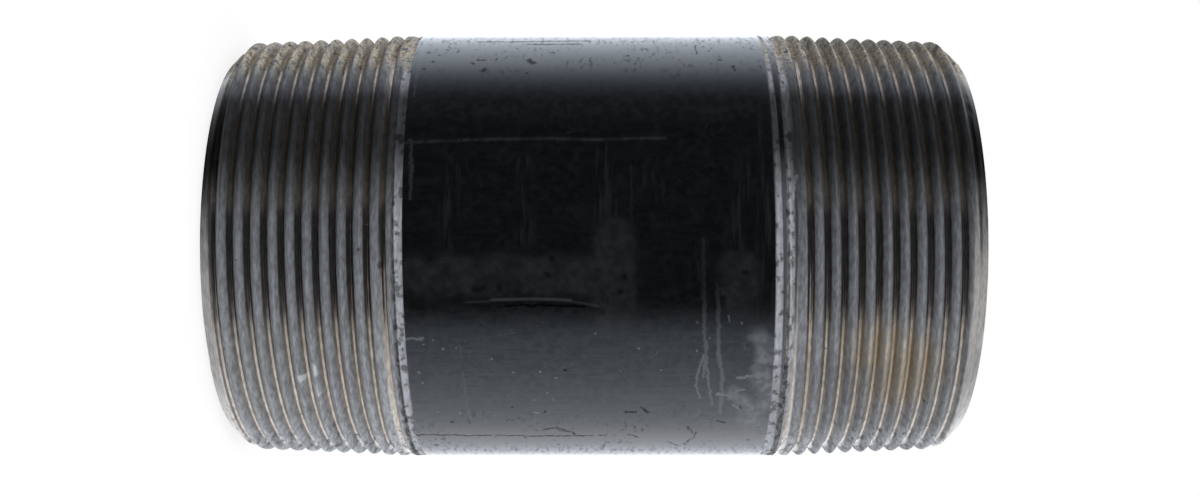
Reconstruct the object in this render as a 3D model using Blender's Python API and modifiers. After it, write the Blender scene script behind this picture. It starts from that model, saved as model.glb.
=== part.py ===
"""Steel pipe nipple: a short length of pipe with a tapered right-hand thread cut on both ends.

Metres, +Z up. The nipple stands on one end, with its axis on Z and the centre of that end at the origin.
"""

import math

import bmesh
import bpy

# The pipe
length = 0.1016
pipe_diameter = 0.0608
wall = 0.0039

# The thread, the same on both ends. Heights along it are measured from the end face.
threads_per_inch = 11.5
pitch = 0.0254 / threads_per_inch
flank_angle = math.radians(60)  # between the two sides of the groove
root_flat = 0.0001  # width of the groove's flat bottom
end_depth = 0.00144  # from the crests down to the groove's bottom, carried to the end face
taper = 1 / 16  # of the groove's bottom, on diameter
full_form_length = 0.0192  # where the groove leaves its taper and starts to run out
thread_length = 0.0272  # where the groove has run out at the pipe's surface
thinnest_crest = 0.00008  # what the cutter always leaves between two turns
clear_of_metal = 0.001  # how far the cutter reaches past the surface that it cuts

# The turned ends
crest_drop = 0.00103  # from the pipe's surface down to the crests, carried to the end face
crest_cone_length = 0.0225  # where the cone of the crests meets the pipe's surface
end_land = 0.0006  # width of the flat ring at the end face
chamfer_angle = math.radians(45)  # from the axis

# Where each thread starts round the pipe
bottom_start = math.radians(-54)
top_start = math.radians(-90)

segments = 40  # flats round the pipe, and steps in each turn of the thread
weld_distance = 0.00001  # joins the turned section's last step to its first
sharp_edge = math.radians(25)

pipe_radius = pipe_diameter / 2
bore_radius = pipe_radius - wall
land_radius = bore_radius + end_land
end_crest_radius = pipe_radius - crest_drop
crest_slope = crest_drop / crest_cone_length
end_root_radius = end_crest_radius - end_depth

pipe_black = (0.012, 0.013, 0.015, 1)
pipe_roughness = 0.3


def clear_scene():
    for old in list(bpy.data.objects):
        bpy.data.objects.remove(old)


def new_collection(name):
    collection = bpy.data.collections.new(name)
    bpy.context.scene.collection.children.link(collection)
    return collection


def black_lacquer():
    material = bpy.data.materials.new("black_lacquered_steel")
    material.use_nodes = True
    shader = material.node_tree.nodes["Principled BSDF"]
    shader.inputs["Base Color"].default_value = pipe_black
    shader.inputs["Roughness"].default_value = pipe_roughness
    shader.inputs["Metallic"].default_value = 0.0
    return material


def chamfer_height():
    """Height at which the end's chamfer meets the cone of the crests."""
    return (end_crest_radius - land_radius) / (math.tan(chamfer_angle) - crest_slope)


def end_outline():
    """(radius, height above the end face) of one turned end, from the pipe's surface to the land."""
    top_of_chamfer = chamfer_height()
    return [
        (pipe_radius, crest_cone_length),
        (end_crest_radius + top_of_chamfer * crest_slope, top_of_chamfer),
        (land_radius, 0),
    ]


def turned_blank(collection):
    """The pipe before threading: one section of its wall, turned round the axis."""
    bottom_end = end_outline()
    top_end = [(radius, length - height) for radius, height in reversed(bottom_end)]
    bore = [(bore_radius, 0), (bore_radius, length)]
    outline = top_end + bottom_end + bore

    mesh = bpy.data.meshes.new("pipe_nipple")
    corners = [(radius, 0, height) for radius, height in outline]
    sides = [(i, (i + 1) % len(corners)) for i in range(len(corners))]
    mesh.from_pydata(corners, sides, [])
    pipe = bpy.data.objects.new("pipe_nipple", mesh)
    collection.objects.link(pipe)

    turn = pipe.modifiers.new("turn", "SCREW")
    turn.axis = "Z"
    turn.angle = 2 * math.pi
    turn.steps = segments
    turn.render_steps = segments
    turn.use_merge_vertices = True
    turn.merge_threshold = weld_distance
    return pipe


def root_radius(height):
    """Radius of the groove's bottom: along the taper, then out through the pipe's surface."""
    if height <= full_form_length:
        return end_root_radius + height * taper / 2
    start_of_run_out = end_root_radius + full_form_length * taper / 2
    climb = (pipe_radius - start_of_run_out) / (thread_length - full_form_length)
    return start_of_run_out + (height - full_form_length) * climb


def cutter_section():
    """(distance out from the groove's bottom, offset along the axis) of the cutter's corners."""
    widest = pitch - thinnest_crest
    shoulder = (widest - root_flat) / 2 / math.tan(flank_angle / 2)
    outside = shoulder + clear_of_metal
    rising = [(0, root_flat / 2), (shoulder, widest / 2), (outside, widest / 2)]
    falling = [(out, -offset) for out, offset in reversed(rising)]
    return rising + falling


def groove_cutter(name, start, collection):
    """A bar with the groove's section, wound as a right-hand helix that follows the thread's cone."""
    first_height = -pitch
    last_height = thread_length + pitch
    rise = pitch / segments
    steps = math.ceil((last_height - first_height) / rise)

    def point_at(radius, angle, height):
        return radius * math.cos(angle), radius * math.sin(angle), height

    cutter = bmesh.new()
    first_root = root_radius(first_height)
    corners = [
        cutter.verts.new(point_at(first_root + out, start, first_height + offset))
        for out, offset in cutter_section()
    ]
    leading = cutter.faces.new(corners)
    for step in range(1, steps + 1):
        height = first_height + step * rise
        angle = start + step / segments * 2 * math.pi
        outward = root_radius(height) - root_radius(height - rise)
        behind = leading
        extruded = bmesh.ops.extrude_face_region(cutter, geom=[behind])["geom"]
        leading = next(item for item in extruded if isinstance(item, bmesh.types.BMFace))
        for corner in leading.verts:
            radius = math.hypot(corner.co.x, corner.co.y) + outward
            corner.co = point_at(radius, angle, corner.co.z + rise)
        if step > 1:
            cutter.faces.remove(behind)
    bmesh.ops.recalc_face_normals(cutter, faces=cutter.faces)

    mesh = bpy.data.meshes.new(name)
    cutter.to_mesh(mesh)
    cutter.free()
    tool = bpy.data.objects.new(name, mesh)
    tool.hide_render = True
    tool.display_type = "WIRE"
    collection.objects.link(tool)
    return tool


def cut_thread(pipe, tool):
    cut = pipe.modifiers.new(tool.name, "BOOLEAN")
    cut.operation = "DIFFERENCE"
    cut.solver = "EXACT"
    cut.object = tool


def shade_round(obj):
    obj.data.shade_smooth()
    obj.data.set_sharp_from_angle(angle=sharp_edge)


def main():
    clear_scene()
    parts = new_collection("pipe_nipple")
    cutters = new_collection("cutters")

    pipe = turned_blank(parts)
    pipe.data.materials.append(black_lacquer())

    bottom_tool = groove_cutter("bottom_thread", bottom_start, cutters)
    top_tool = groove_cutter("top_thread", top_start, cutters)
    top_tool.location.z = length
    top_tool.rotation_euler.x = math.pi

    cut_thread(pipe, bottom_tool)
    cut_thread(pipe, top_tool)
    shade_round(pipe)


main()
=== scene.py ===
import math

import bpy
from mathutils import Matrix, Vector, noise


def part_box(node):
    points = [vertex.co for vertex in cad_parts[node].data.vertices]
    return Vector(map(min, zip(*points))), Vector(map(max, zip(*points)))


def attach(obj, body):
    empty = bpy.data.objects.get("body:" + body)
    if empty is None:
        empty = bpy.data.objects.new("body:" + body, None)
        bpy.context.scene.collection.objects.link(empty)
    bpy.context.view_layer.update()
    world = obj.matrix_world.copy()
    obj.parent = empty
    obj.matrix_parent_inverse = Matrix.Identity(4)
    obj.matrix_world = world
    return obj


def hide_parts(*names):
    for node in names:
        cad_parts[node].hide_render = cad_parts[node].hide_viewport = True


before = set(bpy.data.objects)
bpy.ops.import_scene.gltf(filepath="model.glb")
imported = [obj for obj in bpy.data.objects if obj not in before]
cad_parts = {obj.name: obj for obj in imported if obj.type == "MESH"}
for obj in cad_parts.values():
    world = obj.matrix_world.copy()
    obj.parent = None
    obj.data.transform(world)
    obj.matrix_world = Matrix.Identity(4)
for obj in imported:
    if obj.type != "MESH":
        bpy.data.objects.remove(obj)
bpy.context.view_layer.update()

# Steel pipe nipple, standing on its end: a lacquered pipe with bare threads cut on both ends.
# The script works in metres, like the frame, and sizes are written in millimetres.

mm = 0.001

# The pipe, from the frame
lowest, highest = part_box("pipe_nipple")
length = highest[2] - lowest[2]
pipe_radius = (highest[0] - lowest[0]) / 2
wall = 3.9 * mm
bore_radius = pipe_radius - wall

# The thread, the same on both ends. Heights along it are measured from the end face.
threads_per_inch = 11.5
pitch = 25.4 * mm / threads_per_inch
flank_angle = math.radians(60)  # between the two sides of the groove
root_flat = 0.1 * mm  # where the two sides would end
root_fill = 0.24 * mm  # how far above that the groove's smooth floor lies
taper = 1 / 16  # on diameter
end_crest_radius = pipe_radius - 1.03 * mm  # of the turned cone, carried to the end face
crest_cone_length = 22.5 * mm
end_root_radius = end_crest_radius - 1.44 * mm
full_form_length = 19.2 * mm
bottom_run_out = 27.2 * mm  # where the groove has run out at the pipe's surface
top_run_out = 28.3 * mm
land_radius = bore_radius + 0.6 * mm
chamfer_angle = math.radians(45)
crest_rounding = 0.3 * mm
chamfer_rounding = 0.12 * mm
throat_start = 21.5 * mm  # where the grooves begin to widen
throat_rise = 0.2  # of the widest groove's side towards the end face, per unit along the axis
bottom_start = math.radians(-54)
top_start = math.radians(-90)

# Wear of the crests
wear_reach = 0.35 * mm  # down from the crest's top
wear_fade = 2 * mm  # the thread's last stretch, over which the wear fades out
wave_size = 2.3 * mm
wave_depth = 0.04 * mm
nick_size = 1.4 * mm
nick_depth = 0.7 * mm
nick_start = 0.42  # the noise above which the crest is nicked
nick_shift = Vector((7, 3, 5))  # keeps the nicks apart from the waves

# The mesh
spokes = 200
end_zone = 30 * mm  # the part of each end that has thread rows
body_rings = 30
bore_rings = 24
shortest_step = 0.03 * mm
far_from_groove = 1.0  # stands for no groove, in metres

# Rows of the thread, from the groove's middle to the crest's, in half pitches
profile_steps = [0.1, 0.19, 0.32, 0.5, 0.68, 0.82, 0.92]

# The camera, found from the outline of the pipe and the spacing of its crests
photo_width = 1200
photo_height = 496
focal_pixels = 1550.6
sensor_width = 36.0
camera_place = Vector((0.334, -226.85, 52.457)) * mm
camera_yaw = -0.0043
camera_roll = -0.001


def linear(hex_colour, alpha=1.0):
    """An sRGB hex colour as the linear colour that a node takes."""
    values = [int(hex_colour[i:i + 2], 16) / 255 for i in (1, 3, 5)]
    return tuple(v / 12.92 if v <= 0.04045 else ((v + 0.055) / 1.055) ** 2.4 for v in values) + (alpha,)


def camera_axes():
    """The camera's right, up and forward directions. Its right is the pipe's +Z."""
    cos_yaw, sin_yaw = math.cos(camera_yaw), math.sin(camera_yaw)
    right = Vector((0, -sin_yaw, cos_yaw))
    up = Vector((-1, 0, 0))
    forward = Vector((0, cos_yaw, sin_yaw))
    rolled_right = right * math.cos(camera_roll) + up * math.sin(camera_roll)
    rolled_up = up * math.cos(camera_roll) - right * math.sin(camera_roll)
    return rolled_right, rolled_up, forward


def unrolled(point):
    """(distance round the pipe from its line towards -Y, height) of a point on its surface, in mm."""
    angle = math.atan2(-point.x, -point.y)
    return angle * pipe_radius / mm, point.z / mm


def on_pipe(across, down):
    """A place on the pipe, unrolled, from its pixel in the photograph."""
    right, up, forward = camera_axes()
    ray = forward + right * ((across - photo_width / 2) / focal_pixels)
    ray -= up * ((down - photo_height / 2) / focal_pixels)
    flat = ray.x ** 2 + ray.y ** 2
    half = camera_place.x * ray.x + camera_place.y * ray.y
    gap = camera_place.x ** 2 + camera_place.y ** 2 - pipe_radius ** 2
    inside = max(half ** 2 - flat * gap, 0)
    return unrolled(camera_place + ray * ((-half - math.sqrt(inside)) / flat))


# The shape of the thread

def root_radius(height, run_out):
    """Radius of the groove's bottom: along the taper, then out through the surface at the run-out."""
    if height <= full_form_length:
        return end_root_radius + height * taper / 2
    start = end_root_radius + full_form_length * taper / 2
    climb = (pipe_radius - start) / (run_out - full_form_length)
    return start + (height - full_form_length) * climb


def crest_radius(height):
    slope = (pipe_radius - end_crest_radius) / crest_cone_length
    return min(pipe_radius, end_crest_radius + height * slope)


def rounded_lower(first, second, rounding):
    """The smaller of two radii, with the corner where they cross rounded off."""
    share = min(max(0.5 + 0.5 * (second - first) / rounding, 0), 1)
    return second + (first - second) * share - rounding * share * (1 - share)


def turned_radius(height):
    """Radius of the end before the thread was cut: the chamfer, then the cone of the crests."""
    chamfer = land_radius + height * math.tan(chamfer_angle)
    return rounded_lower(crest_radius(height), chamfer, chamfer_rounding)


def thread_radius(past_groove, height, run_out):
    """Radius of the threaded end, at a distance along the axis past the middle of the groove below.

    Where the thread runs out, the tool's throat has cut the side towards the end face wide and shallow.
    """
    rise = 1 / math.tan(flank_angle / 2)
    throat = min(max((height - throat_start) / (run_out - throat_start), 0), 1)
    end_side_rise = rise + (throat_rise - rise) * throat
    root = root_radius(height, run_out)
    pipe_side = root + max(0, past_groove - root_flat / 2) * rise
    end_side = root + max(0, pitch - past_groove - root_flat / 2) * end_side_rise
    groove = max(min(pipe_side, end_side), root + root_fill)
    return rounded_lower(groove, turned_radius(height), crest_rounding)


def crest_wear(point, below_crest, to_run_out):
    """How far the crest is worn in at a place: a slight waviness, and here and there a nick."""
    at_crest = max(0, 1 - below_crest / wear_reach)
    on_thread = min(max(to_run_out / wear_fade, 0), 1)
    waviness = 0.5 + 0.5 * noise.noise(point / wave_size)
    nick = max(0, noise.noise(point / nick_size + nick_shift) - nick_start)
    return at_crest * on_thread * (wave_depth * waviness + nick_depth * nick)


class Wall:
    """The pipe's wall as one closed mesh, with what its materials need to know at each point."""

    def __init__(self):
        self.points = []
        self.faces = []
        self.zones = []
        self.depths = {"below_crest": [], "cut_depth": [], "above_root": []}

    def add_point(
        self, radius, angle, height, below_crest=0.0, cut_depth=0.0, above_root=far_from_groove
    ):
        self.points.append((radius * math.cos(angle), radius * math.sin(angle), height))
        depths = {"below_crest": below_crest, "cut_depth": cut_depth, "above_root": above_root}
        for name, depth in depths.items():
            self.depths[name].append(depth / mm)
        return len(self.points) - 1

    def add_face(self, corners, zone):
        kept = [c for i, c in enumerate(corners) if c != corners[i - 1]]
        if len(kept) > 2:
            self.faces.append(kept)
            self.zones.append(zone)


bottom_end, body, top_end, bore, end_face = range(5)


def spoke_heights(turned):
    """Heights of one spoke's rows, where the groove's middle has turned by a share of a full turn."""
    steps = profile_steps + [1] + [2 - step for step in reversed(profile_steps)]
    turns = math.ceil(end_zone / pitch) + 1
    rows = []
    for turn in range(-1, turns):
        for step in steps:
            past_groove = step / 2 * pitch
            rows.append(((turn + turned) * pitch + past_groove, past_groove))
    return rows, len(steps)


def thread_end(wall_mesh, start, run_out, is_top):
    """Adds one threaded end. Returns its two rings: at the end face, and where the plain pipe begins."""
    sign = -1 if is_top else 1
    columns = []
    for spoke in range(spokes):
        local_angle = start + spoke / spokes * 2 * math.pi
        rows, rows_in_turn = spoke_heights(spoke / spokes)
        column = []
        last_height = None
        for height, past_groove in rows:
            if height < shortest_step:
                height = 0
            if height > end_zone - shortest_step:
                height = end_zone
            if height != last_height:
                radius = thread_radius(past_groove, height, run_out)
                below_crest = turned_radius(height) - radius
                cut_depth = pipe_radius - radius
                above_root = far_from_groove
                if height > 0:
                    above_root = radius - root_radius(height, run_out) - root_fill
                world_angle = sign * local_angle
                world_height = length - height if is_top else height
                across, deep = radius * math.cos(world_angle), radius * math.sin(world_angle)
                place = Vector((across, deep, world_height))
                if 0 < height < end_zone:
                    radius -= crest_wear(place, below_crest, run_out - height)
                point = wall_mesh.add_point(
                    radius, world_angle, world_height, below_crest, cut_depth, above_root
                )
                column.append(point)
                last_height = height
            else:
                column.append(column[-1])
        columns.append(column)

    for spoke in range(spokes):
        here = columns[spoke]
        after = columns[(spoke + 1) % spokes]
        # The last spoke meets the first one a whole turn of the thread further up.
        shift = rows_in_turn if spoke == spokes - 1 else 0
        for row in range(len(here) - 1 - shift):
            corners = [here[row], after[row + shift], after[row + shift + 1], here[row + 1]]
            wall_mesh.add_face(corners, top_end if is_top else bottom_end)

    first_spoke = round(start / (2 * math.pi) * spokes)
    turned = [columns[(sign * index - first_spoke) % spokes] for index in range(spokes)]
    return [column[0] for column in turned], [column[-1] for column in turned]


def join_rings(wall_mesh, lower, upper, zone, inward=False):
    for index in range(spokes):
        after = (index + 1) % spokes
        corners = [lower[index], lower[after], upper[after], upper[index]]
        wall_mesh.add_face(corners[::-1] if inward else corners, zone)


def plain_ring(wall_mesh, radius, height):
    angles = [index / spokes * 2 * math.pi for index in range(spokes)]
    return [wall_mesh.add_point(radius, angle, height) for angle in angles]


def pipe_wall():
    """The whole nipple: two threaded ends, the plain pipe between them, the end faces and the bore."""
    made = Wall()
    bottom_face, bottom_shoulder = thread_end(made, bottom_start, bottom_run_out, False)
    top_face, top_shoulder = thread_end(made, top_start, top_run_out, True)

    plain_length = length - 2 * end_zone
    last = bottom_shoulder
    for ring in range(1, body_rings):
        height = end_zone + plain_length * ring / body_rings
        following = plain_ring(made, pipe_radius, height)
        join_rings(made, last, following, body)
        last = following
    join_rings(made, last, top_shoulder, body)

    bore_bottom = plain_ring(made, bore_radius, 0)
    last = bore_bottom
    for ring in range(1, bore_rings + 1):
        following = plain_ring(made, bore_radius, length * ring / bore_rings)
        join_rings(made, last, following, bore, inward=True)
        last = following
    join_rings(made, bore_bottom, bottom_face, end_face)
    join_rings(made, top_face, last, end_face)
    return made


def mesh_object(name, made, materials):
    mesh = bpy.data.meshes.new(name)
    mesh.from_pydata(made.points, [], made.faces)
    for material in materials:
        mesh.materials.append(material)
    mesh.polygons.foreach_set("material_index", made.zones)
    for attribute_name, values in made.depths.items():
        attribute = mesh.attributes.new(attribute_name, "FLOAT", "POINT")
        attribute.data.foreach_set("value", values)
    mesh.shade_smooth()
    ends = {index for index, point in enumerate(made.points) if point[2] in (0, length)}
    sharp = [edge.vertices[0] in ends and edge.vertices[1] in ends for edge in mesh.edges]
    mesh.attributes.new("sharp_edge", "BOOLEAN", "EDGE").data.foreach_set("value", sharp)
    mesh.update()
    piece = bpy.data.objects.new(name, mesh)
    bpy.context.scene.collection.objects.link(piece)
    return piece


# Materials

def set_inputs(tree, node, inputs):
    """Gives a node its inputs. Each takes a constant, or the node or socket that feeds it.

    A Mix node has its share at 0, its two numbers at 2 and 3, and its two colours at 6 and 7.
    """
    for name, value in inputs.items():
        source = value.outputs[0] if isinstance(value, bpy.types.Node) else value
        if isinstance(source, bpy.types.NodeSocket):
            tree.links.new(source, node.inputs[name])
        else:
            node.inputs[name].default_value = source


def add_node(tree, kind, inputs=None, **settings):
    """Adds a node with its settings and inputs."""
    node = tree.nodes.new(kind)
    for name, value in settings.items():
        setattr(node, name, value)
    set_inputs(tree, node, inputs or {})
    return node


def new_material(name):
    material = bpy.data.materials.new(name)
    material.use_nodes = True
    return material, material.node_tree, material.node_tree.nodes["Principled BSDF"]


def overlap(tree, *shares):
    """How far a place lies in all of several stretches: the product of their shares and strengths."""
    whole = shares[0]
    for share in shares[1:]:
        whole = add_node(tree, "ShaderNodeMath", {0: whole, 1: share}, operation="MULTIPLY")
    return whole


def any_of(tree, *shares):
    """How far a place lies in any of several stretches: the largest of their shares."""
    largest = shares[0]
    for share in shares[1:]:
        largest = add_node(tree, "ShaderNodeMath", {0: largest, 1: share}, operation="MAXIMUM")
    return largest


def outside(tree, share):
    """How far a place lies outside a stretch."""
    return add_node(tree, "ShaderNodeMath", {0: 1.0, 1: share}, operation="SUBTRACT")


def stage_between(tree, value, start, end, low=0.0, high=1.0):
    """Rises smoothly from low to high while the value goes from start to end."""
    inputs = {"Value": value, "From Min": start, "From Max": end, "To Min": low, "To Max": high}
    return add_node(tree, "ShaderNodeMapRange", inputs, interpolation_type="SMOOTHSTEP", clamp=False)


def band(tree, value, low, high, edge):
    """1 between two values and 0 outside them, with edges of a given width."""
    rising = stage_between(tree, value, low - edge, low + edge)
    falling = stage_between(tree, value, high - edge, high + edge, low=1.0, high=0.0)
    return overlap(tree, rising, falling)


def speckle(tree, place, size, start, end, detail=3.0):
    """Blotches of about a size in mm, where a noise goes from start to end."""
    spots = add_node(tree, "ShaderNodeTexNoise", {"Vector": place, "Scale": 1 / size, "Detail": detail})
    return stage_between(tree, spots, start, end)


def place_in_mm(tree):
    coordinates = add_node(tree, "ShaderNodeTexCoord")
    scale = {0: coordinates.outputs["Object"], 3: 1 / mm}
    return add_node(tree, "ShaderNodeVectorMath", scale, operation="SCALE")


def unrolled_place(tree, place):
    """The surface laid flat, in mm: the distance round the pipe from its line towards -Y, and height."""
    parts = add_node(tree, "ShaderNodeSeparateXYZ", {0: place})
    height = parts.outputs["Z"]
    turned_round = add_node(tree, "ShaderNodeVectorMath", {0: place, 3: -1.0}, operation="SCALE")
    parts = add_node(tree, "ShaderNodeSeparateXYZ", {0: turned_round})
    sides = {0: parts.outputs["X"], 1: parts.outputs["Y"]}
    angle = add_node(tree, "ShaderNodeMath", sides, operation="ARCTAN2")
    arc = add_node(tree, "ShaderNodeMath", {0: angle, 1: pipe_radius / mm}, operation="MULTIPLY")
    return arc, height, add_node(tree, "ShaderNodeCombineXYZ", {"X": arc, "Y": height})


# Places along the pipe, in mm from the nearer end: where a share begins, and where it is whole
chamfer_edge = (2.5, 2.1)
worn_roots = (5.0, 17.0)
thin_roots = (23.6, 24.4)
last_groove = (24.9, 25.5)
full_thread = (25.7, 25.2)
torn_reach = 0.8  # how far the lacquer's torn edge wanders
lacquer_edge = (26.8, 26.6)  # plus that
land_edge = (27.3, 27.0)

# Depths in the thread, in mm above the groove's floor: likewise
crest_above = (0.35, 0.6)
root_above = (0.14, 0.04)
thin_root_above = (0.06, 0.02)
root_below = (-0.2, -0.05)

# The same, below the crests and into the pipe
crest_below = (0.3, 0.15)
scraped_depth = (0.01, 0.05)
bare_depth = (0.015, 0.045)

# Places round the pipe, in mm from its line towards -Y and positive towards -X: likewise
rust_upper_edge = (3.5, 8.5)
rust_lower_edge = (12.0, 10.4)
# A darker band on the upper front side of the thread
dark_band_upper_edge = (25.3, 20.8)
dark_band_lower_edge = (2.5, 14.5)
# The lacquer's pale marks are painted stronger below this edge, where light falls
lit_side_edge = (-5.0, -17.0)
land_upper_edge = (14.0, 5.0)
pitted_from = (21.0, 32.0)  # either way round
smudged_from = (33.0, 37.0)  # either way round

# Bands round the pipe: where each begins and ends, and how soft its edges are
# Painted shade: the steel is darker on the upper side
shade_above = (22.0, 41.0, 4.0)
# Painted shade in the grooves across the front
shaded_grooves = (-10.2, 24.0, 0.5)
# Painted shade: crests and roots are darker on the lower side
shade_below = (-31.0, -16.0, 3.0)
# Painted shade: the chamfer is darker on its upper side
chamfer_shade_band = (9.0, 45.0, 3.0)
dull_roots = (30.0, 62.0, 4.0)
stained_top = (29.0, 62.0, 4.0)
hazy_above = (17.0, 40.0, 2.5)

lacquer_ior = 1.5
plain_white = (1, 1, 1, 1)
gloss_tint = "#dceafa"  # the lacquer's own reflections look a little cold
# On the lacquer's lower side this grey is partly painted light
rubbed_grey = "#6e7175"  # rubbed lacquer and dried dust

# Marks on the surface, as lines through pixels of the photograph. A line of one pixel is a spot.
# A stretch of the surface takes only the marks that lie on it, or this far past it, in mm.
past_stretch = 3.0
far_away = 100.0  # where no mark is near

long_scratch = [[(403, 143), (440, 141), (480, 139.5), (545, 138.5), (600, 139.5), (665, 138)]]
fine_scratches = [
    [(459, 345), (462, 358)],
    [(463, 372), (466, 395), (470, 418)],
    [(498, 336), (515, 332)],
    [(659, 350), (652, 358)],
    [(686, 404), (692, 414)],
    [(701, 408), (697, 418)],
    [(718, 110), (706, 126), (698, 140)],
    [(455, 215), (480, 200)],
    [(672, 175), (681, 182)],
    [(643, 187), (650, 180), (662, 188)],
    [(751, 341), (744, 344), (744, 349), (750, 349)],
]
gouge = [[(492, 302.5), (530, 301.5), (555, 302), (570, 303)]]
gouge_ends = [
    [(466, 303.5), (492, 302.5)],
    [(570, 303), (582, 304.3), (598, 307.5)],
]
thick_drips = [
    [(703.5, 240), (704, 290), (704, 330), (706, 348), (705, 363)],
    [(717.5, 285), (718.5, 330), (718, 352), (722, 374), (722, 395), (720, 413)],
]
thin_drips = [
    [(704, 355), (698, 370), (696, 386), (700, 398)],
    [(705, 360), (703, 377)],
    [(706, 362), (709, 386), (712, 406)],
]
rubbed_bars = [
    [(737, 378), (744, 377.5), (752, 376)],
    [(717, 394), (726, 395.5), (742, 397)],
    [(736, 391), (743, 390)],
    [(733, 405), (738, 408)],
    [(549, 432), (555, 435)],
    [(407, 339), (422, 339)],
]
rubbed_patches = [
    [(759, 337), (766, 345), (764, 360)],
    [(762, 372), (768, 400), (745, 420)],
    [(733, 393), (748, 408), (760, 432)],
]
pale_spots = [
    [(491, 359)], [(514, 373)], [(419, 373)], [(423, 383)], [(540, 372)], [(556, 378)], [(534, 400)],
    [(554, 400)], [(547, 393)], [(596, 333)], [(438, 412)], [(460, 414)], [(495, 416)],
    [(533, 413), (539, 413)], [(639, 349)], [(661, 370)], [(697, 322)], [(697, 351)],
    [(729, 317), (729, 321)], [(742, 324)], [(710, 338)], [(604, 277)], [(706, 421)], [(598, 418)],
    [(568, 132)], [(443, 349)], [(456, 348)], [(424, 345)], [(432, 340)], [(606, 39)], [(610, 52)],
    [(619, 57)], [(746, 51)],
]
# Creases and dents near the outline, darkened with painted shade
upper_creases = [
    [(478, 42), (510, 42), (540, 41.3), (590, 41)],
]
upper_dents = [
    [(528, 44), (545, 44.5), (580, 44)],
    [(483, 71), (485, 69)],
    [(529, 60), (534, 63.5)],
    [(719, 60)],
    [(733, 67)],
    [(627, 56)],
]
lower_creases = [
    [(412, 430), (418, 436), (423, 434.5), (470, 435.5), (490, 435)],
    [(498, 435.5), (540, 436), (592, 435.5)],
    [(600, 435.5), (606, 435)],
    [(628, 434.5), (637, 437)],
    [(543, 429.5), (555, 428), (566, 430.5), (574, 434)],
]
# Dark lines: painted shade in thin creases
dark_lines = [
    [(667, 441), (680, 446)],
    [(683, 444), (694, 437), (697, 432)],
    [(688, 427), (693, 433)],
    [(582, 453), (600, 450), (605, 444)],
    [(717, 421), (726, 423)],
    [(640, 42), (650, 40), (664, 40)],
    [(695, 45), (697, 54)],
    [(738, 40), (745, 38)],
    # Painted shade under the gouge
    [(505, 305.5), (540, 305), (585, 306.5)],
]
dark_spots = [
    [(512, 407)], [(453, 422)], [(565, 370)], [(545, 412)], [(641, 408), (648, 412)],
    [(626, 412), (636, 412)], [(740, 407)], [(748, 440)], [(478, 60), (485, 60)], [(527, 73)],
    [(512, 56)], [(437, 50)], [(439, 55)], [(447, 50)], [(455, 48)], [(433, 62)], [(424, 69)],
    [(471, 63), (474, 64)], [(496, 59)], [(477, 50)], [(458, 52)], [(645, 49)], [(642, 50)],
    [(639, 58)], [(712, 48)], [(735, 70)], [(703, 47)], [(709, 51)], [(395, 196)], [(396, 233)],
    [(396, 261)], [(396, 272)], [(401, 325)], [(402, 350)], [(398, 361)], [(405, 385)], [(409, 418)],
    [(380, 264), (380, 268)], [(782, 292)], [(779, 405)], [(776, 425)], [(385, 42), (390, 42)],
    [(389, 66)], [(235, 261)], [(358, 250)], [(222, 353)], [(363, 401)], [(351, 422)], [(827, 354)],
    [(836, 433)], [(926, 409)],
]
haze_holes = [
    [(430, 258)], [(460, 302), (468, 306)], [(425, 310)], [(475, 290), (484, 288)], [(500, 288)],
    [(548, 275)], [(552, 258)], [(605, 300)], [(603, 312)], [(625, 277)], [(620, 292)],
    [(723, 298), (723, 306)], [(745, 272)], [(722, 238), (735, 247)], [(746, 200), (746, 245)],
]
haze = [
    [(415, 276), (600, 276)],
    [(614, 240), (614, 318)],
    [(738, 270), (740, 305)],
]
wiped_bands = [
    [(452, 170), (448, 250)],
    [(525, 165), (525, 240)],
    [(603, 150), (608, 330)],
    [(650, 180), (660, 190)],
    [(742, 170), (740, 245)],
    [(766, 110), (766, 330)],
]
haze_streaks = [
    [(616, 200), (616, 330)], [(631, 165), (631, 330)], [(698, 262), (703, 300)],
]
edge_scrapes = [
    [(428, 38), (414, 97)],
    [(411, 52), (407, 88)],
    [(411, 140), (411.5, 168), (410, 198)],
    [(774, 338), (768, 372), (764, 400)],
]
bright_cuts = [[(795, 176), (792, 200), (792.5, 228)]]
pale_flakes = [[(298, 380), (302, 384)], [(311, 368), (314, 376)], [(313, 390), (317, 397)]]
rust_spots = [
    [(345, 418)], [(325, 440)], [(366, 224)], [(851.5, 391), (853, 396)], [(212.5, 226.5)],
    [(314.5, 225.5)], [(349, 225.3)], [(384, 225.5)], [(247, 70)], [(334, 183)], [(351, 185)],
]
brown_patch = [[(880, 354), (910, 366), (903, 390)]]


def distance_to_marks(tree, surface, place, marks):
    """Distance in mm to the nearest of some marks: each a line through its pixels in the photograph."""
    nearest = far_away
    for mark in marks:
        corners = [Vector(on_pipe(across, down)).to_3d() for across, down in mark]
        for first, second in zip(corners, corners[1:] or corners):
            if max(first.y, second.y) < surface.low or min(first.y, second.y) > surface.high:
                continue
            gap = {0: place, 1: first}
            if first != second:
                along = second - first
                from_first = add_node(tree, "ShaderNodeVectorMath", gap, operation="SUBTRACT")
                share = {0: from_first, 1: along / along.length_squared}
                share = add_node(tree, "ShaderNodeVectorMath", share, operation="DOT_PRODUCT")
                share = add_node(tree, "ShaderNodeClamp", {"Value": share.outputs["Value"]})
                on_line = add_node(tree, "ShaderNodeVectorMath", {0: along, 3: share}, operation="SCALE")
                gap = {0: from_first, 1: on_line}
            reach = add_node(tree, "ShaderNodeVectorMath", gap, operation="DISTANCE").outputs["Value"]
            nearest = add_node(tree, "ShaderNodeMath", {0: nearest, 1: reach}, operation="MINIMUM")
    return nearest


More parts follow.
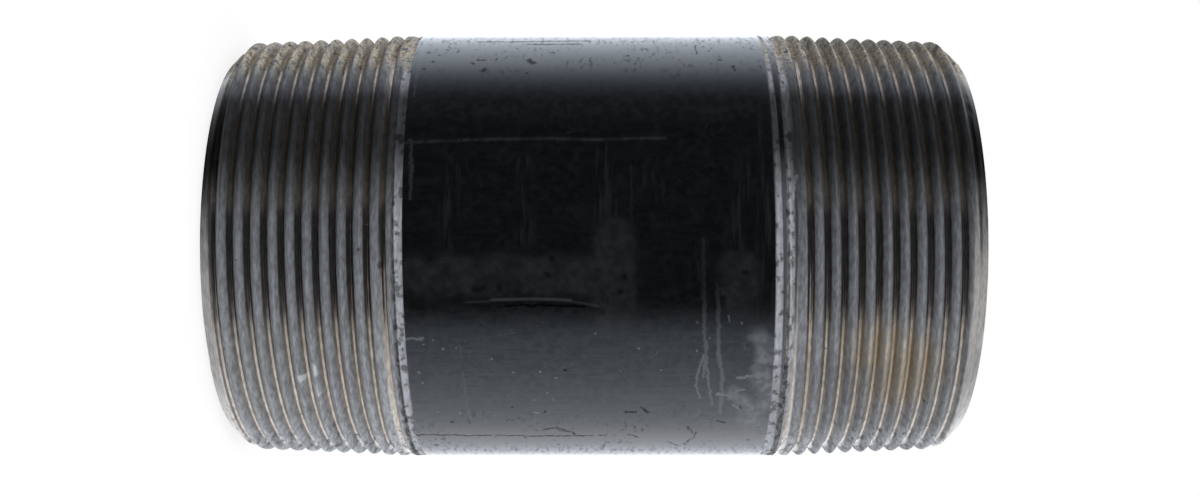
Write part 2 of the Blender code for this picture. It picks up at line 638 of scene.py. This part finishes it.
def marks_mask(tree, surface, place, marks, half_width, edge):
    """1 on the marks and 0 off them, with edges of a given width."""
    reach = distance_to_marks(tree, surface, place, marks)
    return stage_between(tree, reach, half_width + edge, half_width - edge)


def strongest(tree, surface, groups):
    """The strongest of several groups of ragged marks.

    Each group comes with its half width and edge in mm, and its strength.
    """
    share = 0.0
    for marks, half_width, edge, strength in groups:
        mask = marks_mask(tree, surface, surface.ragged, marks, half_width, edge)
        share = any_of(tree, share, overlap(tree, mask, strength))
    return share


def wandering(tree, surface, size, reach, detail):
    """The flat place, shifted by a noise of about a size, by up to half of a reach."""
    drift = {"Vector": surface.place, "Scale": 1 / size, "Detail": detail}
    drift = add_node(tree, "ShaderNodeTexNoise", drift).outputs["Color"]
    centre = (0.5, 0.5, 0.5)
    drift = add_node(tree, "ShaderNodeVectorMath", {0: drift, 1: centre}, operation="SUBTRACT")
    shifted = {0: drift, 1: (reach, reach, 0), 2: surface.flat}
    return add_node(tree, "ShaderNodeVectorMath", shifted, operation="MULTIPLY_ADD")


def drawn_out(tree, place, *grain):
    """A place, scaled so that a noise looked up at it has grains of given sizes in mm along the axes.

    A size of 0 leaves that axis out.
    """
    scale = [1 / size if size else 0.0 for size in grain]
    return add_node(tree, "ShaderNodeVectorMath", {0: place, 1: scale}, operation="MULTIPLY")


class Surface:
    """What the materials of a stretch of the outer surface know at each point. Distances are in mm."""

    def __init__(self, tree, low, high):
        self.low = low / mm - past_stretch
        self.high = high / mm + past_stretch
        self.place = place_in_mm(tree)
        self.arc, self.height, self.flat = unrolled_place(tree, self.place)
        self.below_crest, self.cut_depth, self.above_root = (
            add_node(tree, "ShaderNodeAttribute", attribute_name=name).outputs["Fac"]
            for name in ("below_crest", "cut_depth", "above_root")
        )
        from_top = {0: length / mm, 1: self.height}
        from_top = add_node(tree, "ShaderNodeMath", from_top, operation="SUBTRACT")
        nearer = {0: self.height, 1: from_top}
        self.from_end = add_node(tree, "ShaderNodeMath", nearer, operation="MINIMUM")

        # Most marks are looked up at a place that wanders a little, which makes their edges ragged.
        self.ragged = wandering(tree, self, size=0.75, reach=0.9, detail=3.0)

        # Streaks that the cutting tool leaves round the pipe: 1.25 mm long and 0.3 mm wide
        streaks = {"Vector": drawn_out(tree, self.place, 1.25, 1.25, 0.3125), "Scale": 1.0, "Detail": 6.0}
        self.streaks = add_node(tree, "ShaderNodeTexNoise", streaks).outputs[0]


class Thread:
    """Where the parts of a cut thread lie, each by its share."""

    def __init__(self, tree, surface):
        crest = stage_between(tree, surface.above_root, *crest_above)
        self.crest = any_of(tree, crest, stage_between(tree, surface.below_crest, *crest_below))
        self.groove = outside(tree, self.crest)
        in_full_thread = stage_between(tree, surface.from_end, *full_thread)
        root = stage_between(tree, surface.above_root, *root_above)
        root = overlap(tree, root, in_full_thread)
        root = overlap(tree, root, stage_between(tree, surface.above_root, *root_below))
        thin_root = stage_between(tree, surface.above_root, *thin_root_above)
        thin_root = overlap(tree, thin_root, in_full_thread)
        near_run_out = stage_between(tree, surface.from_end, *thin_roots)
        root = add_node(tree, "ShaderNodeMix", {0: near_run_out, 2: root, 3: thin_root})
        worn = stage_between(tree, surface.from_end, *worn_roots, low=0.5, high=1.0)
        self.root = overlap(tree, root, worn)
        self.chamfer = stage_between(tree, surface.from_end, *chamfer_edge)
        self.past_thread = stage_between(tree, surface.from_end, *last_groove)
        last_cut = stage_between(tree, surface.cut_depth, *scraped_depth)
        last_cut = overlap(tree, self.past_thread, last_cut)
        bright_mark = marks_mask(tree, surface, surface.ragged, bright_cuts, half_width=0.28, edge=0.12)
        self.bright = any_of(tree, last_cut, bright_mark)


class Finish:
    """A finish: its colour, how metallic it is and its roughness. A light has only the colour."""

    def __init__(self, tree, colour, metallic=0.0, roughness=1.0):
        self.tree = tree
        self.colour = colour
        self.metallic = metallic
        self.roughness = roughness

    def cover(self, share, colour=None, metallic=None, roughness=None):
        """Lays another finish over this one, by its share. What isn't given stays as it is."""
        if colour is not None:
            both = {0: share, 6: self.colour, 7: colour}
            self.colour = add_node(self.tree, "ShaderNodeMix", both, data_type="RGBA").outputs[2]
        if metallic is not None:
            both = {0: share, 2: self.metallic, 3: metallic}
            self.metallic = add_node(self.tree, "ShaderNodeMix", both)
        if roughness is not None:
            both = {0: share, 2: self.roughness, 3: roughness}
            self.roughness = add_node(self.tree, "ShaderNodeMix", both)

    def dim(self, tone):
        """Makes the colour darker, or brighter, by a factor."""
        scale = {0: self.colour, 3: tone}
        self.colour = add_node(self.tree, "ShaderNodeVectorMath", scale, operation="SCALE")


def toned(tree, tone, share, factor):
    """A tone, changed by a factor where a share lies."""
    change = add_node(tree, "ShaderNodeMix", {0: share, 2: 1.0, 3: factor})
    return add_node(tree, "ShaderNodeMath", {0: tone, 1: change}, operation="MULTIPLY")


def bare_steel(tree, surface, thread, crest_colour, last_groove_metallic):
    """Carbon steel, turned and threaded by a die.

    The crests are torn and look matt and pale. The floor of the groove is smooth, so it mirrors the
    room, and has a brown tinge. Beyond the thread the die scraped lacquer and steel, which looks blotchy.
    """
    steel = Finish(tree, linear("#a09d9a"), metallic=0.95, roughness=0.3)
    steel.cover(thread.crest, linear(crest_colour), metallic=0.92, roughness=0.85)
    steel.cover(thread.chamfer, linear("#a8a5a2"), roughness=0.35)
    steel.cover(thread.root, linear("#9a928a"), roughness=0.14)

    # Thin rust in the grooves
    rusted = overlap(tree, stage_between(tree, surface.arc, *rust_upper_edge), thread.groove)
    rusted = overlap(tree, stage_between(tree, surface.arc, *rust_lower_edge), rusted)
    steel.cover(overlap(tree, rusted, 0.55), linear("#5e5348"))
    steel.cover(rusted, metallic=0.55)

    # The die's first scrape beyond the thread, over lacquer that is partly left, with chips 1.2 mm wide
    steel.cover(thread.past_thread, linear("#8a8b8e"), last_groove_metallic)
    left_over = stage_between(tree, surface.streaks, start=0.6, end=0.42)
    left_over = overlap(tree, thread.past_thread, left_over)
    steel.cover(overlap(tree, left_over, 0.5), linear("#3c3d40"))
    steel.cover(thread.bright, linear("#b0b3bb"), metallic=0.45, roughness=0.7)
    chips = speckle(tree, surface.place, size=1.2, start=0.54, end=0.64)
    chips = overlap(tree, chips, thread.past_thread)
    steel.cover(overlap(tree, chips, 0.65), linear("#1d1e22"))
    return steel


def soil_and_shade(tree, surface, thread, steel, lower_shade_tone):
    """Dims the steel: streaked by the die, with painted shade above, below, in the grooves and on the
    chamfer's upper side, dimmer roots high up, and darker in a band on the upper front side.
    """
    tone = stage_between(tree, surface.streaks, start=0.28, end=0.72, low=0.7, high=1.15)
    # Painted shade: darker on the upper side
    tone = toned(tree, tone, band(tree, surface.arc, *shade_above), factor=0.76)
    # Painted shade in the grooves across the front
    shaded = overlap(tree, band(tree, surface.arc, *shaded_grooves), thread.groove)
    tone = toned(tree, tone, shaded, factor=0.85)
    # Painted shade: crests and roots darker on the lower side, by a tone set for each end
    lower_shade = band(tree, surface.arc, *shade_below)
    lower_shade = overlap(tree, lower_shade, any_of(tree, thread.crest, thread.root))
    tone = toned(tree, tone, lower_shade, lower_shade_tone)
    # Painted shade: the chamfer darker on its upper side
    shaded_chamfer = overlap(tree, band(tree, surface.arc, *chamfer_shade_band), thread.chamfer)
    tone = toned(tree, tone, shaded_chamfer, factor=0.3)
    dull_root = overlap(tree, band(tree, surface.arc, *dull_roots), thread.root)
    tone = toned(tree, tone, dull_root, factor=0.4)

    # A darker band on the upper front side, which fades out downwards.
    dark_band = stage_between(tree, surface.arc, *dark_band_upper_edge)
    dark_band = overlap(tree, dark_band, stage_between(tree, surface.arc, *dark_band_lower_edge))
    dark_band_tone = add_node(tree, "ShaderNodeMix", {0: thread.bright, 2: 0.24, 3: 0.12})
    dark_band_tone = add_node(tree, "ShaderNodeMix", {0: thread.groove, 2: dark_band_tone, 3: 0.5})
    steel.dim(toned(tree, tone, dark_band, dark_band_tone))
    steel.cover(overlap(tree, dark_band, thread.groove), metallic=0.86)


def rust(tree, surface, thread, steel):
    """Lays brown rust over the steel in grains of 0.7 mm, and the rust spots and pale flakes."""
    grains = {"Vector": surface.place, "Scale": 1 / 0.7, "Detail": 4.0}
    grains = add_node(tree, "ShaderNodeTexNoise", grains)
    stained = band(tree, surface.arc, *stained_top)
    stain = overlap(tree, stained, stage_between(tree, grains, start=0.38, end=0.52))
    brown = Finish(tree, linear("#897860"))
    brown.cover(thread.crest, linear("#b2a793"))
    steel.cover(overlap(tree, stain, 0.85), brown.colour)

    patch = marks_mask(tree, surface, surface.ragged, brown_patch, half_width=3.6, edge=3.6)
    patch = overlap(tree, patch, add_node(tree, "ShaderNodeMix", {0: thread.groove, 2: 0.6, 3: 0.9}))
    patch = overlap(tree, patch, stage_between(tree, grains, start=0.38, end=0.58, low=0.5, high=1.0))
    warm_brown = Finish(tree, linear("#8a785b"))
    warm_brown.cover(thread.crest, linear("#b09f82"))
    steel.cover(patch, warm_brown.colour)
    stain = any_of(tree, stain, patch)

    deep_rust = overlap(tree, stained, stage_between(tree, grains, start=0.54, end=0.62))
    steel.cover(overlap(tree, deep_rust, 0.7), linear("#3b2f24"))
    flakes = marks_mask(tree, surface, surface.ragged, pale_flakes, half_width=0.35, edge=0.15)
    steel.cover(overlap(tree, flakes, 0.55), linear("#dcdfe6"), metallic=0.2)
    spots = marks_mask(tree, surface, surface.ragged, rust_spots, half_width=0.1, edge=0.08)
    spots = overlap(tree, spots, 0.8)
    steel.cover(spots, linear("#94683f"))
    steel.cover(any_of(tree, stain, spots), metallic=0.1)
    steel.roughness = any_of(tree, steel.roughness, overlap(tree, stained, 0.65))


def gloss_haze(tree, surface, smeared, mottling, fine_mottling):
    """Haze, wipe marks and scratches that show where the gloss is dark, by their share."""
    # Wiped round the pipe in streaks 6 mm long and 0.55 mm wide
    wipes = drawn_out(tree, surface.place, 6.25, 6.25, 0.5556)
    wipes = speckle(tree, wipes, size=1.0, start=0.42, end=0.66)
    hazy = marks_mask(tree, surface, smeared, haze, half_width=2.7, edge=1.2)
    holes = marks_mask(tree, surface, surface.ragged, haze_holes, half_width=0.35, edge=0.4)
    hazy = overlap(tree, hazy, outside(tree, holes))
    hazy = overlap(tree, hazy, add_node(tree, "ShaderNodeMix", {0: mottling, 2: 0.65, 3: 1.0}))
    hazy = overlap(tree, hazy, add_node(tree, "ShaderNodeMix", {0: fine_mottling, 2: 0.65, 3: 1.1}))
    wiped = marks_mask(tree, surface, smeared, wiped_bands, half_width=1.3, edge=1.3)
    wiped = overlap(tree, wiped, wipes)
    upper = any_of(tree, fine_mottling, overlap(tree, wipes, 0.5))
    upper = add_node(tree, "ShaderNodeMix", {0: upper, 2: 0.35, 3: 1.0})
    upper = overlap(tree, upper, band(tree, surface.arc, *hazy_above))
    faint = any_of(tree, overlap(tree, hazy, 0.068), overlap(tree, upper, 0.04))
    faint = any_of(tree, faint, overlap(tree, wiped, 0.045))
    faint = any_of(tree, faint, overlap(tree, mottling, fine_mottling, 0.02))
    scratch = marks_mask(tree, surface, surface.flat, long_scratch, half_width=0.24, edge=0.26)
    depth = add_node(tree, "ShaderNodeMix", {0: fine_mottling, 2: 0.035, 3: 0.09})
    faint = any_of(tree, faint, overlap(tree, scratch, depth))
    return any_of(tree, faint, strongest(tree, surface, [
        (haze_streaks, 0.15, 0.2, 0.035),
        (edge_scrapes, 0.2, 0.22, 0.1),
    ]))


def lacquer(tree, surface):
    """Black lacquer over drawn pipe: a deep, cold gloss, greyed by dried dust, drips and scuffs, which are
    painted paler on the lower side where light falls.
    """
    mottling = speckle(tree, surface.place, size=3.0, start=0.35, end=0.6, detail=4.0)
    fine_mottling = speckle(tree, surface.place, size=1.1, start=0.36, end=0.66, detail=4.0)
    # Painted light: the side the light falls on
    lit_side = stage_between(tree, surface.arc, *lit_side_edge, low=0.12, high=1.0)
    rubbed = strongest(tree, surface, [
        (thick_drips, 0.26, 0.2, 0.42),
        (thin_drips, 0.16, 0.14, 0.52),
        (fine_scratches, 0.06, 0.06, 0.3),
        (rubbed_bars, 0.2, 0.16, 0.75),
        (pale_spots, 0.13, 0.12, 0.85),
    ])
    smeared = wandering(tree, surface, size=2.2, reach=2.6, detail=4.0)
    patches = marks_mask(tree, surface, smeared, rubbed_patches, half_width=1.2, edge=0.9)
    uneven = add_node(tree, "ShaderNodeMix", {0: fine_mottling, 2: 0.35, 3: 0.8})
    rubbed = any_of(tree, rubbed, overlap(tree, patches, uneven))
    specks = overlap(tree, speckle(tree, surface.place, size=0.5, start=0.64, end=0.72), 0.2)
    rubbed = any_of(tree, rubbed, specks)

    # Fine lines that the drawing die left along the pipe, 5 mm long and 0.55 mm wide
    die_lines = drawn_out(tree, surface.place, 0.5556, 0.5556, 5.0)
    die_lines = speckle(tree, die_lines, size=1.0, start=0.4, end=0.66, detail=5.0)
    dulled = overlap(tree, any_of(tree, fine_mottling, die_lines), 0.09)
    # Painted light: the pale marks show fully only on the lower side, where light falls, and faintly above
    rubbed = overlap(tree, any_of(tree, rubbed, dulled), lit_side)

    faint = gloss_haze(tree, surface, smeared, mottling, fine_mottling)
    dust_and_painted_light = any_of(tree, rubbed, faint)
    coat = Finish(tree, linear("#090a0b"), metallic=0.0, roughness=0.13)
    coat.cover(dust_and_painted_light, linear(rubbed_grey))
    coat.roughness = stage_between(tree, dust_and_painted_light, start=0.0, end=0.5, low=0.13, high=0.5)
    return coat


def dirt_and_crease_shade(tree, surface):
    """Dark dirt and iron oxide in pits and chips, and painted shade in cracks, creases, dents and under
    the gouge, by its share.
    """
    share = strongest(tree, surface, [
        # Painted shade in the creases, dents and dark lines; dirt in the dark spots
        (upper_creases, 0.22, 0.25, 0.85),
        (upper_dents, 0.3, 0.3, 0.6),
        (lower_creases, 0.13, 0.16, 0.7),
        (dark_lines, 0.12, 0.14, 0.6),
        (dark_spots, 0.18, 0.2, 0.65),
    ])

    # Pits 1.3 mm long round the pipe and 0.65 mm wide, in patches of 4 mm, away from the front
    far_round = add_node(tree, "ShaderNodeMath", {0: surface.arc}, operation="ABSOLUTE")
    pitted = stage_between(tree, far_round, *pitted_from)
    pitted = overlap(tree, pitted, speckle(tree, surface.place, size=4.0, start=0.42, end=0.6))
    pits = drawn_out(tree, surface.flat, 2.0, 1.0, 0)
    pits = overlap(tree, speckle(tree, pits, size=0.65, start=0.49, end=0.74), pitted)

    # Smudges 2.4 mm long round the pipe and 0.6 mm wide, where the surface turns away
    smudges = drawn_out(tree, surface.flat, 4.0, 1.0, 0)
    smudges = overlap(tree, speckle(tree, smudges, size=0.6, start=0.42, end=0.72), 0.55)
    smudges = overlap(tree, smudges, stage_between(tree, far_round, *smudged_from))
    pits = any_of(tree, overlap(tree, pits, 0.62), smudges)
    return any_of(tree, share, pits)


def finish_outside(tree, shader, surface, finish, tint, relief):
    """Lays the dirt and the painted crease shade over a finish and connects it to its shader. The relief
    is in mm.
    """
    dark = dirt_and_crease_shade(tree, surface)
    clean = outside(tree, dark)
    finish.dim(clean)
    tint = add_node(tree, "ShaderNodeVectorMath", {0: tint, 3: clean}, operation="SCALE")
    set_inputs(tree, shader, {
        "Base Color": finish.colour,
        "Metallic": any_of(tree, finish.metallic, dark),
        "Roughness": finish.roughness,
        "IOR": lacquer_ior,
        "Specular Tint": tint,
        "Normal": add_node(tree, "ShaderNodeBump", {"Height": relief, "Strength": 1.0, "Distance": mm}),
    })


def lacquered_pipe():
    """Black lacquer over drawn steel pipe, with one long gouge, 0.06 mm deep, that catches the light."""
    material, tree, shader = new_material("black_lacquer")
    surface = Surface(tree, end_zone, length - end_zone)
    coat = lacquer(tree, surface)
    dent = marks_mask(tree, surface, surface.flat, gouge, half_width=0.34, edge=0.32)
    shallow = marks_mask(tree, surface, surface.flat, gouge_ends, half_width=0.14, edge=0.32)
    dent = overlap(tree, any_of(tree, dent, overlap(tree, shallow, 0.5)), -0.06)
    finish_outside(tree, shader, surface, coat, linear(gloss_tint)[:3], dent)
    return material


def threaded_end(name, low, high, crest_colour, last_groove_metallic, rubbed_land, lower_shade_tone):
    """Cut steel that ends in black lacquer with a torn edge. The lacquer between cuts may be rubbed."""
    material, tree, shader = new_material(name)
    surface = Surface(tree, low, high)
    thread = Thread(tree, surface)
    steel = bare_steel(tree, surface, thread, crest_colour, last_groove_metallic)
    soil_and_shade(tree, surface, thread, steel, lower_shade_tone)
    rust(tree, surface, thread, steel)

    coat = lacquer(tree, surface)
    land = overlap(tree, stage_between(tree, surface.from_end, *land_edge), rubbed_land)
    land = overlap(tree, land, stage_between(tree, surface.arc, *land_upper_edge))
    coat.cover(land, linear(rubbed_grey))

    uneven = {0: surface.streaks, 1: torn_reach, 2: surface.from_end}
    uneven = add_node(tree, "ShaderNodeMath", uneven, operation="MULTIPLY_ADD")
    turned = stage_between(tree, uneven, *lacquer_edge)
    bare = any_of(tree, turned, stage_between(tree, surface.cut_depth, *bare_depth))
    coat.cover(bare, steel.colour, steel.metallic, steel.roughness)
    tint = Finish(tree, linear(gloss_tint))
    tint.cover(bare, plain_white)
    torn = overlap(tree, surface.streaks, bare, 0.02)
    finish_outside(tree, shader, surface, coat, tint.colour, torn)
    return material


def bore_surface():
    """Mill scale left from hot forming: dull blue-grey iron oxide, browner in patches of 2.5 mm."""
    material, tree, shader = new_material("mill_scale")
    scale = Finish(tree, linear("#2b2d30"), metallic=0.4, roughness=0.6)
    browner = speckle(tree, place_in_mm(tree), size=2.5, start=0.3, end=0.7, detail=6.0)
    scale.cover(browner, linear("#413d39"))
    set_inputs(tree, shader, {
        "Base Color": scale.colour,
        "Metallic": scale.metallic,
        "Roughness": scale.roughness,
    })
    return material


def end_surface():
    """Steel faced off with a cutting tool: rings 0.15 mm apart, a dull shine, grime in spots of 1.5 mm."""
    material, tree, shader = new_material("faced_steel")
    place = place_in_mm(tree)
    flat = add_node(tree, "ShaderNodeVectorMath", {0: place, 1: (1, 1, 0)}, operation="MULTIPLY")
    radius = add_node(tree, "ShaderNodeVectorMath", {0: flat}, operation="LENGTH").outputs["Value"]
    by_radius = add_node(tree, "ShaderNodeCombineXYZ", {"X": radius})
    rings = speckle(tree, by_radius, size=0.15, start=0.3, end=0.7)
    grime = speckle(tree, place, size=1.5, start=0.5, end=0.68)
    steel = Finish(tree, linear("#8f8f90"), metallic=1.0, roughness=0.4)
    steel.cover(rings, linear("#c2c2c2"))
    steel.cover(overlap(tree, grime, 0.6), linear("#4a443d"))
    relief = {"Height": overlap(tree, rings, 0.02), "Strength": 1.0, "Distance": mm}
    set_inputs(tree, shader, {
        "Base Color": steel.colour,
        "Metallic": steel.metallic,
        "Roughness": steel.roughness,
        "Normal": add_node(tree, "ShaderNodeBump", relief),
    })
    return material


# The stage

plain_light = 1.3  # what the world gives to dull surfaces; the lamps give the rest
dark_room = (0.0118, 0.0157, 0.0212, 1)
cold_white = (0.93, 0.98, 1.06, 1)
grey_white = (0.84, 0.86, 0.9, 1)

floor_size = 4.0
floor_grey = (0.18, 0.18, 0.18, 1)
floor_glow = 0.8
lamp_size = 0.5
lamp_power = 3.0
lamp_across = 0.3
lamp_distance = 0.75
lamp_height = 0.45

# Directions round the pipe, in degrees from its front towards -X
table_edge = (-52, -30)
backdrop_edge = (80, 118)
side_zenith = 75
board_middle = -163
under_middle = -152
above_middle = 120


def level_angle(tree, direction, degrees):
    """The cosine of the angle between a direction and the level one at some degrees round the pipe."""
    angle = math.radians(degrees)
    both = {0: direction, 1: (-math.sin(angle), -math.cos(angle), 0)}
    return add_node(tree, "ShaderNodeVectorMath", both, operation="DOT_PRODUCT").outputs["Value"]


def surroundings(tree, direction):
    """The room's light in a direction: a white table and backdrop, and a dark room in front and above."""
    arc, _, _ = unrolled_place(tree, direction)
    degrees = {0: arc, 1: math.degrees(mm / pipe_radius)}
    degrees = add_node(tree, "ShaderNodeMath", degrees, operation="MULTIPLY")
    table = stage_between(tree, degrees, *table_edge, low=1.0, high=0.0)
    backdrop = stage_between(tree, degrees, *backdrop_edge)
    round_pipe = any_of(tree, table, backdrop)

    # Towards the pipe's ends, the table and backdrop stop and the dark room shows lower down.
    past_ends = level_angle(tree, direction, side_zenith)
    past_ends = stage_between(tree, past_ends, start=-0.2, end=0.12, low=1.0, high=0.0)
    along = {0: direction, 1: (0, 0, 1)}
    along = add_node(tree, "ShaderNodeVectorMath", along, operation="DOT_PRODUCT").outputs["Value"]
    either_way = add_node(tree, "ShaderNodeMath", {0: along}, operation="ABSOLUTE")
    side = stage_between(tree, either_way, start=0.45, end=0.8)
    lit = add_node(tree, "ShaderNodeMix", {0: side, 2: round_pipe, 3: past_ends})

    # The light falls hardest on the board below and behind the pipe, less under it, and cold from above.
    flat = add_node(tree, "ShaderNodeVectorMath", {0: direction, 1: (1, 1, 0)}, operation="MULTIPLY")
    unit = add_node(tree, "ShaderNodeVectorMath", {0: flat}, operation="NORMALIZE")
    board = level_angle(tree, unit, board_middle)
    board = stage_between(tree, board, start=-0.5, end=0.35, low=1.0, high=1.9)
    board = add_node(tree, "ShaderNodeMix", {0: side, 2: board, 3: 1.0})
    white = Finish(tree, plain_white)
    above = stage_between(tree, level_angle(tree, unit, above_middle), start=0.35, end=0.8)
    white.cover(above, cold_white)
    under = stage_between(tree, level_angle(tree, unit, under_middle), start=0.85, end=0.98)
    white.cover(under, grey_white)
    white.dim(board)
    room = Finish(tree, dark_room)
    room.cover(lit, white.colour)
    return room.colour


def studio_world():
    world = bpy.data.worlds.new("studio")
    bpy.context.scene.world = world
    world.use_nodes = True
    tree = world.node_tree
    direction = add_node(tree, "ShaderNodeTexCoord").outputs["Generated"]
    rays = add_node(tree, "ShaderNodeLightPath")
    seen = any_of(tree, rays.outputs["Is Camera Ray"], rays.outputs["Is Transmission Ray"])
    light = Finish(tree, surroundings(tree, direction))
    light.cover(rays.outputs["Is Diffuse Ray"], (plain_light, plain_light, plain_light, 1))
    light.cover(seen, plain_white)
    set_inputs(tree, tree.nodes["Background"], {"Color": light.colour})
    world.cycles.sampling_method = "NONE"


def studio_floor():
    """White board. The camera sees it as white, and it still takes a faint shadow."""
    mesh = bpy.data.meshes.new("floor")
    near, far = -floor_size, floor_size
    corners = [(near, near, 0), (far, near, 0), (far, far, 0), (near, far, 0)]
    mesh.from_pydata(corners, [], [(0, 1, 2, 3)])
    floor = bpy.data.objects.new("floor", mesh)
    bpy.context.scene.collection.objects.link(floor)
    floor.visible_glossy = False  # the gloss shows the white of the world instead

    material, tree, shader = new_material("white_board")
    tree.nodes.remove(shader)
    rays = add_node(tree, "ShaderNodeLightPath")
    strength = overlap(tree, rays.outputs["Is Camera Ray"], floor_glow)
    glow = add_node(tree, "ShaderNodeEmission", {"Strength": strength})
    board = add_node(tree, "ShaderNodeBsdfDiffuse", {"Color": floor_grey})
    both = add_node(tree, "ShaderNodeAddShader", {0: glow, 1: board})
    set_inputs(tree, tree.nodes["Material Output"], {"Surface": both})
    material.cycles.emission_sampling = "NONE"
    mesh.materials.append(material)


def studio_lamp(name, place):
    """A soft lamp pointed at the middle of the pipe, which doesn't show in its gloss."""
    lamp = bpy.data.lights.new(name, "AREA")
    lamp.shape = "DISK"
    lamp.size = lamp_size
    lamp.energy = lamp_power
    holder = bpy.data.objects.new(name, lamp)
    holder.location = place
    away = Vector(place) - Vector((0, 0, length / 2))
    holder.rotation_euler = away.to_track_quat("Z", "Y").to_euler()
    holder.visible_glossy = False
    bpy.context.scene.collection.objects.link(holder)


def studio_camera():
    camera = bpy.data.cameras.new("camera")
    camera.sensor_width = sensor_width
    camera.lens = focal_pixels / photo_width * sensor_width
    camera.clip_start = 0.01
    holder = bpy.data.objects.new("camera", camera)
    right, up, forward = camera_axes()
    turn = Matrix((right, up, -forward)).transposed().to_4x4()
    holder.matrix_world = Matrix.Translation(camera_place) @ turn
    bpy.context.scene.collection.objects.link(holder)
    bpy.context.scene.camera = holder


def main():
    bpy.context.scene.view_settings.view_transform = "Standard"
    finishes = {
        bottom_end: threaded_end(
            "steel_and_lacquer_at_bottom", 0, end_zone,
            crest_colour="#bec1c6", last_groove_metallic=0.95, rubbed_land=0.0, lower_shade_tone=0.9,
        ),
        body: lacquered_pipe(),
        top_end: threaded_end(
            "steel_and_lacquer_at_top", length - end_zone, length,
            crest_colour="#b6b9be", last_groove_metallic=0.5, rubbed_land=0.4, lower_shade_tone=0.72,
        ),
        bore: bore_surface(),
        end_face: end_surface(),
    }
    nipple = mesh_object("nipple_wall", pipe_wall(), list(finishes.values()))
    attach(nipple, "root")
    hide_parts("pipe_nipple")

    studio_world()
    studio_floor()
    studio_lamp("front_lamp", (-lamp_across, -lamp_distance, lamp_height))
    studio_lamp("back_lamp", (lamp_across, lamp_distance, lamp_height))
    studio_camera()


main()
